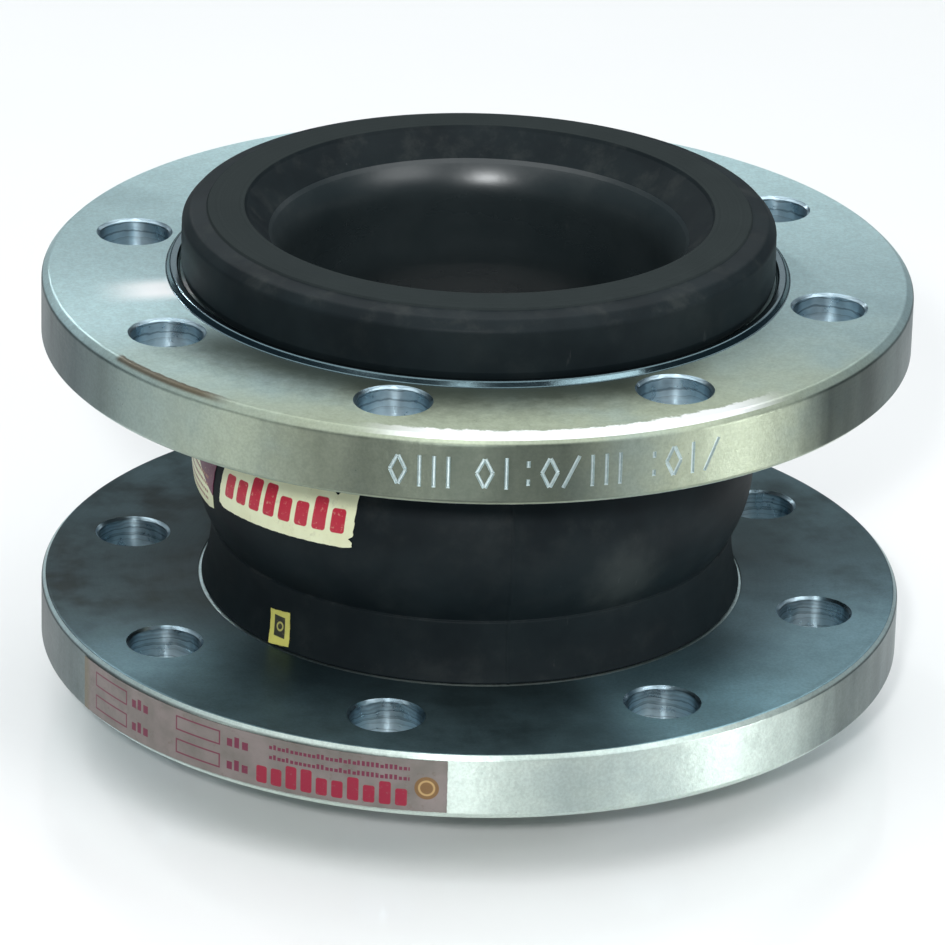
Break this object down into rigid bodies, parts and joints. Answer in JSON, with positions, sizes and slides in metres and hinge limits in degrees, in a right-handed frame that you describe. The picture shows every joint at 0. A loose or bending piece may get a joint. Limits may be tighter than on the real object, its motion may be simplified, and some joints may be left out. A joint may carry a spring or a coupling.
{
  "type": "rubber expansion joint",
  "caption": "Flanged rubber expansion joint: a short single-arch rubber bellows with a sealing collar at each end, held in loose turning steel flanges with bolt holes.",
  "frame": {"origin": "centre of the lower rubber sealing face, where the joint stands on the floor", "axes": "+Z along the pipe axis from the lower to the upper sealing face; X and Y lie midway between bolt holes, and -Y faces the side with the labels"},
  "size_m": [0.22, 0.22, 0.135],
  "materials": {
    "zinc_steel": "bright zinc plating over turned steel, semi-gloss",
    "cover_rubber": "moulded black synthetic rubber, satin, with a finer matt grey sealing land",
    "lining_rubber": "smooth moulded black rubber with a soft sheen",
    "cord_fabric": "rubberised cord fabric, hidden inside the wall",
    "bead_wire": "drawn high-tensile steel wire, hidden inside the collar",
    "nameplate_foil": "dull self-adhesive metal foil with crimson print",
    "label_paper": "cream printed self-adhesive label, worn at the edges",
    "tag_paper": "small yellow paper tag with a dark printed outline"
  },
  "bodies": {
    "lower_end": {"lower_sealing_collar": "cover_rubber", "lower_bead_hoop_1": "bead_wire", "lower_bead_hoop_2": "bead_wire", "lower_bead_hoop_3": "bead_wire", "lower_bead_hoop_4": "bead_wire"},
    "lower_flange_ring": {"lower_flange": "zinc_steel", "rim_nameplate": "nameplate_foil"},
    "lower_wall": {"lower_cuff": "cover_rubber", "shoulder_tag": "tag_paper"},
    "inner_wall": {"inner_tube": "lining_rubber", "inner_cord_ply": "cord_fabric"},
    "arch_wall": {"arch_cover": "cover_rubber", "outer_cord_ply": "cord_fabric", "arch_label": "label_paper", "arch_side_label": "label_paper"},
    "upper_wall": {"upper_cuff": "cover_rubber"},
    "upper_end": {"upper_sealing_collar": "cover_rubber", "upper_bead_hoop_1": "bead_wire", "upper_bead_hoop_2": "bead_wire", "upper_bead_hoop_3": "bead_wire", "upper_bead_hoop_4": "bead_wire"},
    "upper_flange_ring": {"upper_flange": "zinc_steel"}
  },
  "joints": [
    {"name": "angular_travel_x", "type": "hinge", "parent": "lower_end", "child": "lower_wall", "pos_m": [0, 0, 0.0675], "axis": [1, 0, 0], "range_deg": [-7.5, 7.5], "stiffness_Nm_per_rad": 200, "deforming": ["lower_cuff", "shoulder_tag"]},
    {"name": "lateral_travel_x", "type": "slide", "parent": "lower_wall", "child": "inner_wall", "axis": [1, 0, 0], "range_m": [-0.006, 0.006], "stiffness_N_per_m": 80000, "deforming": ["inner_tube", "inner_cord_ply"]},
    {"name": "axial_travel", "type": "slide", "parent": "inner_wall", "child": "arch_wall", "axis": [0, 0, 1], "range_m": [-0.0095, 0.006], "stiffness_N_per_m": 60000, "deforming": ["arch_cover", "outer_cord_ply", "arch_label", "arch_side_label"]},
    {"name": "lateral_travel_y", "type": "slide", "parent": "arch_wall", "child": "upper_wall", "axis": [0, 1, 0], "range_m": [-0.006, 0.006], "stiffness_N_per_m": 80000, "deforming": ["upper_cuff"]},
    {"name": "angular_travel_y", "type": "hinge", "parent": "upper_wall", "child": "upper_end", "pos_m": [0, 0, 0.0675], "axis": [0, 1, 0], "range_deg": [-7.5, 7.5], "stiffness_Nm_per_rad": 200},
    {"name": "lower_flange_swivel", "type": "hinge", "parent": "lower_end", "child": "lower_flange_ring", "pos_m": [0, 0, 0.02575], "axis": [0, 0, 1], "continuous": true},
    {"name": "upper_flange_swivel", "type": "hinge", "parent": "upper_end", "child": "upper_flange_ring", "pos_m": [0, 0, 0.10925], "axis": [0, 0, 1], "continuous": true}
  ]
}
